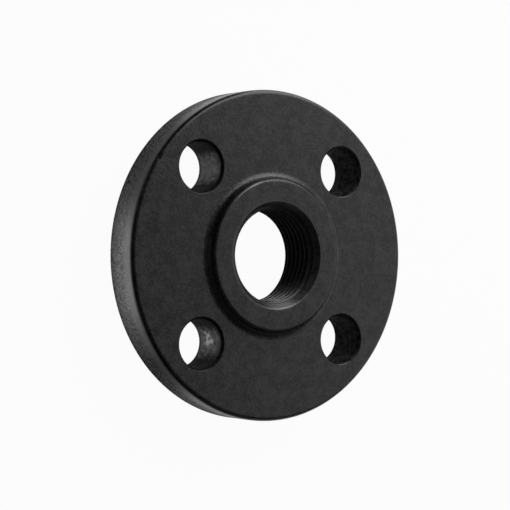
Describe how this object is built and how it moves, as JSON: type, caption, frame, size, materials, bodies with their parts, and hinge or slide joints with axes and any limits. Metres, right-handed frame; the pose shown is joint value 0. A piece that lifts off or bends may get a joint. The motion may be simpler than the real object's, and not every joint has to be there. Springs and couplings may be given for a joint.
{
  "type": "threaded flange",
  "caption": "Round steel pipe flange with a short drafted hub, a threaded bore, a raised seating face at the back and bolt holes through its disc.",
  "frame": {"origin": "centre of the bore in the plane of the raised seating face, which is the face that the flange lies on", "axes": "+Z runs along the bore from the seating face towards the hub; the bolt holes lie midway between the X and Y axes, and +Y is up in the picture"},
  "size_m": [0.108, 0.108, 0.0175],
  "materials": {
    "black_coated_steel": "thin black protective coat over forged and machined steel, satin, with a fine grain and light wear on the edges"
  },
  "bodies": {
    "root": {"threaded_flange": "black_coated_steel"}
  },
  "joints": []
}
